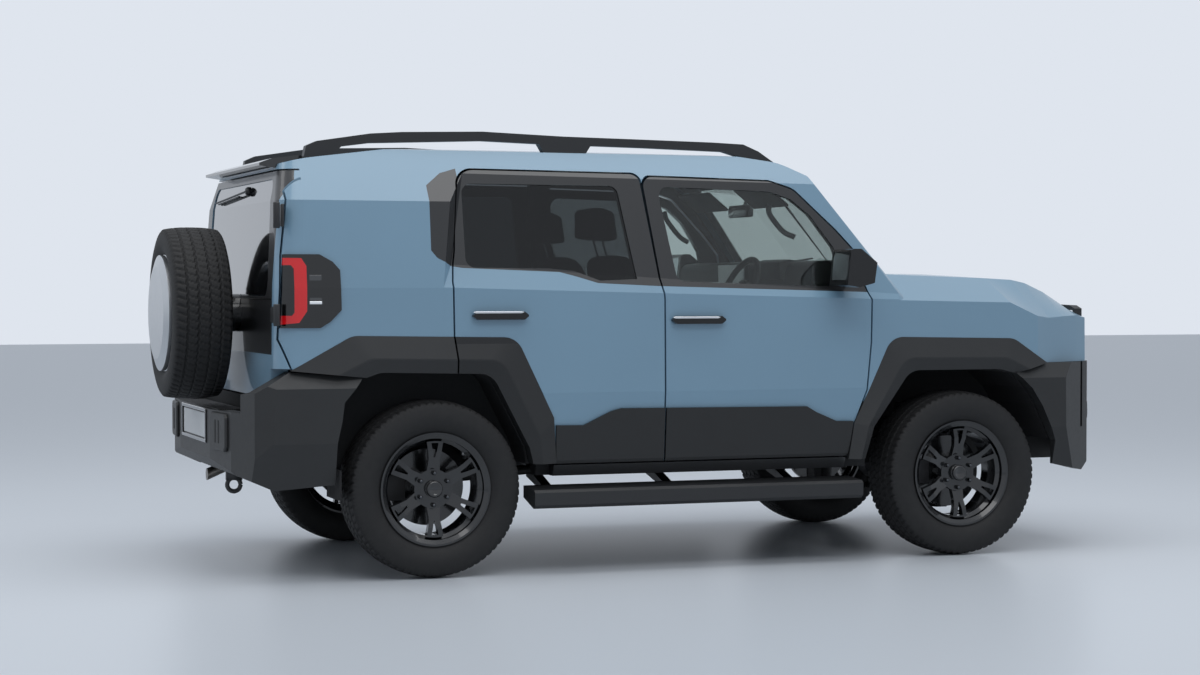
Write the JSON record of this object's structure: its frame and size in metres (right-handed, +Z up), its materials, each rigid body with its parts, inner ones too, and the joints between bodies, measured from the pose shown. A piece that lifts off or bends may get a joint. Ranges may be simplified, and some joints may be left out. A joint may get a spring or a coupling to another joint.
{
  "type": "off_road_vehicle",
  "caption": "Lifted five door off-road vehicle with dark arch flares, roof rails, side steps, opening doors, hood and tailgate, and a spare wheel hung on the rear",
  "frame": {"origin": "middle of the footprint on the ground under the whole vehicle", "axes": "X towards the front of the vehicle, Y towards its left side, Z up"},
  "size_m": [4.575, 2.2382, 1.96],
  "materials": {
    "body_paint": "gloss pale blue coat over sheet steel",
    "chassis_paint": "satin black frame coat",
    "dark_trim": "moulded in dark grey with fine grain",
    "liner_plastic": "rough black moulding",
    "cabin_plastic": "soft grained moulding",
    "lamp_lens": "clear hard coated lens over bright reflector",
    "tail_lens": "red clear lens",
    "clear_glass": "lightly tinted laminated glass",
    "tinted_glass": "dark tinted toughened glass",
    "seat_cloth": "woven dark grey cloth",
    "alloy": "cast alloy under gloss black coat",
    "tyre_rubber": "moulded rubber",
    "cast_metal": "as cast",
    "pipe_steel": "heat stained steel tube"
  },
  "bodies": {
    "chassis": {"ladder_frame": "chassis_paint", "floor_pan": "body_paint", "body_side_right": "body_paint", "body_side_left": "body_paint", "roof_panel": "body_paint", "fenders": "body_paint", "nose_panels": "body_paint", "grille": "dark_trim", "headlamps": "lamp_lens", "tail_lamps": "tail_lens", "windscreen": "clear_glass", "front_bumper": "dark_trim", "rear_bumper": "dark_trim", "arch_flares": "dark_trim", "roof_rails": "dark_trim", "rear_spoiler": "body_paint", "side_steps": "dark_trim", "wheel_liners": "liner_plastic", "dashboard": "cabin_plastic", "front_seats": "seat_cloth", "rear_seat": "seat_cloth", "engine_block": "cast_metal", "driveline": "cast_metal", "exhaust": "pipe_steel", "fuel_tank": "liner_plastic", "rear_axle": "chassis_paint", "suspension_links": "chassis_paint"},
    "hood": {"hood": "body_paint"},
    "tailgate": {"tailgate": "body_paint", "tailgate_glass": "tinted_glass", "spare_wheel": "alloy", "spare_tyre": "tyre_rubber", "spare_cover": "dark_trim"},
    "steering_rack": {"steering_rack": "cast_metal"},
    "steering_wheel": {"steering_wheel": "cabin_plastic"},
    "door_front_right": {"door_front_right": "body_paint", "glass_front_right": "clear_glass", "trim_front_right": "dark_trim"},
    "wheel_front_right": {"wheel_front_right": "alloy", "tyre_front_right": "tyre_rubber"},
    "door_rear_right": {"door_rear_right": "body_paint", "glass_rear_right": "tinted_glass", "trim_rear_right": "dark_trim"},
    "wheel_rear_right": {"wheel_rear_right": "alloy", "tyre_rear_right": "tyre_rubber"},
    "knuckle_right": {"knuckle_right": "cast_metal"},
    "door_front_left": {"door_front_left": "body_paint", "glass_front_left": "clear_glass", "trim_front_left": "dark_trim"},
    "wheel_front_left": {"wheel_front_left": "alloy", "tyre_front_left": "tyre_rubber"},
    "door_rear_left": {"door_rear_left": "body_paint", "glass_rear_left": "tinted_glass", "trim_rear_left": "dark_trim"},
    "wheel_rear_left": {"wheel_rear_left": "alloy", "tyre_rear_left": "tyre_rubber"},
    "knuckle_left": {"knuckle_left": "cast_metal"}
  },
  "joints": [
    {"name": "hood_hinge", "type": "hinge", "parent": "chassis", "child": "hood", "pos_m": [1.0774, 0, 1.3495], "axis": [0, -1, 0], "range_deg": [0, 50]},
    {"name": "front_door_right", "type": "hinge", "parent": "chassis", "child": "door_front_right", "pos_m": [0.8836, -0.905, 0.95], "axis": [0, 0, 1], "range_deg": [0, 65]},
    {"name": "rear_door_right", "type": "hinge", "parent": "chassis", "child": "door_rear_right", "pos_m": [-0.151, -0.905, 0.95], "axis": [0, 0, 1], "range_deg": [0, 65]},
    {"name": "front_door_left", "type": "hinge", "parent": "chassis", "child": "door_front_left", "pos_m": [0.8836, 0.905, 0.95], "axis": [0, 0, -1], "range_deg": [0, 65]},
    {"name": "rear_door_left", "type": "hinge", "parent": "chassis", "child": "door_rear_left", "pos_m": [-0.151, 0.905, 0.95], "axis": [0, 0, -1], "range_deg": [0, 65]},
    {"name": "tailgate_hinge", "type": "hinge", "parent": "chassis", "child": "tailgate", "pos_m": [-1.9166, -0.908, 1.1], "axis": [0, 0, 1], "range_deg": [0, 95]},
    {"name": "steer_right", "type": "hinge", "parent": "chassis", "child": "knuckle_right", "pos_m": [1.3675, -0.665, 0.3875], "axis": [0, 0, 1], "range_deg": [-32, 32]},
    {"name": "steer_left", "type": "hinge", "parent": "chassis", "child": "knuckle_left", "pos_m": [1.3675, 0.665, 0.3875], "axis": [0, 0, 1], "range_deg": [-32, 32]},
    {"name": "rack_slide", "type": "slide", "parent": "chassis", "child": "steering_rack", "axis": [0, 1, 0], "range_m": [-0.066, 0.066]},
    {"name": "steering_wheel_turn", "type": "hinge", "parent": "chassis", "child": "steering_wheel", "pos_m": [0.4387, -0.37, 1.2426], "axis": [0.9063, 0, -0.4226], "range_deg": [-520, 520]},
    {"name": "front_wheel_right", "type": "hinge", "parent": "knuckle_right", "child": "wheel_front_right", "pos_m": [1.3675, -0.775, 0.3875], "axis": [0, 1, 0], "continuous": true},
    {"name": "rear_wheel_right", "type": "hinge", "parent": "chassis", "child": "wheel_rear_right", "pos_m": [-1.2125, -0.775, 0.3875], "axis": [0, 1, 0], "continuous": true},
    {"name": "front_wheel_left", "type": "hinge", "parent": "knuckle_left", "child": "wheel_front_left", "pos_m": [1.3675, 0.775, 0.3875], "axis": [0, 1, 0], "continuous": true},
    {"name": "rear_wheel_left", "type": "hinge", "parent": "chassis", "child": "wheel_rear_left", "pos_m": [-1.2125, 0.775, 0.3875], "axis": [0, 1, 0], "continuous": true}
  ],
  "couplings": [
    {"joint": "steer_left", "follows": "steer_right", "ratio": 1},
    {"joint": "rack_slide", "follows": "steer_right", "m_per_rad": 0.1115},
    {"joint": "steering_wheel_turn", "follows": "steer_right", "ratio": -16}
  ]
}
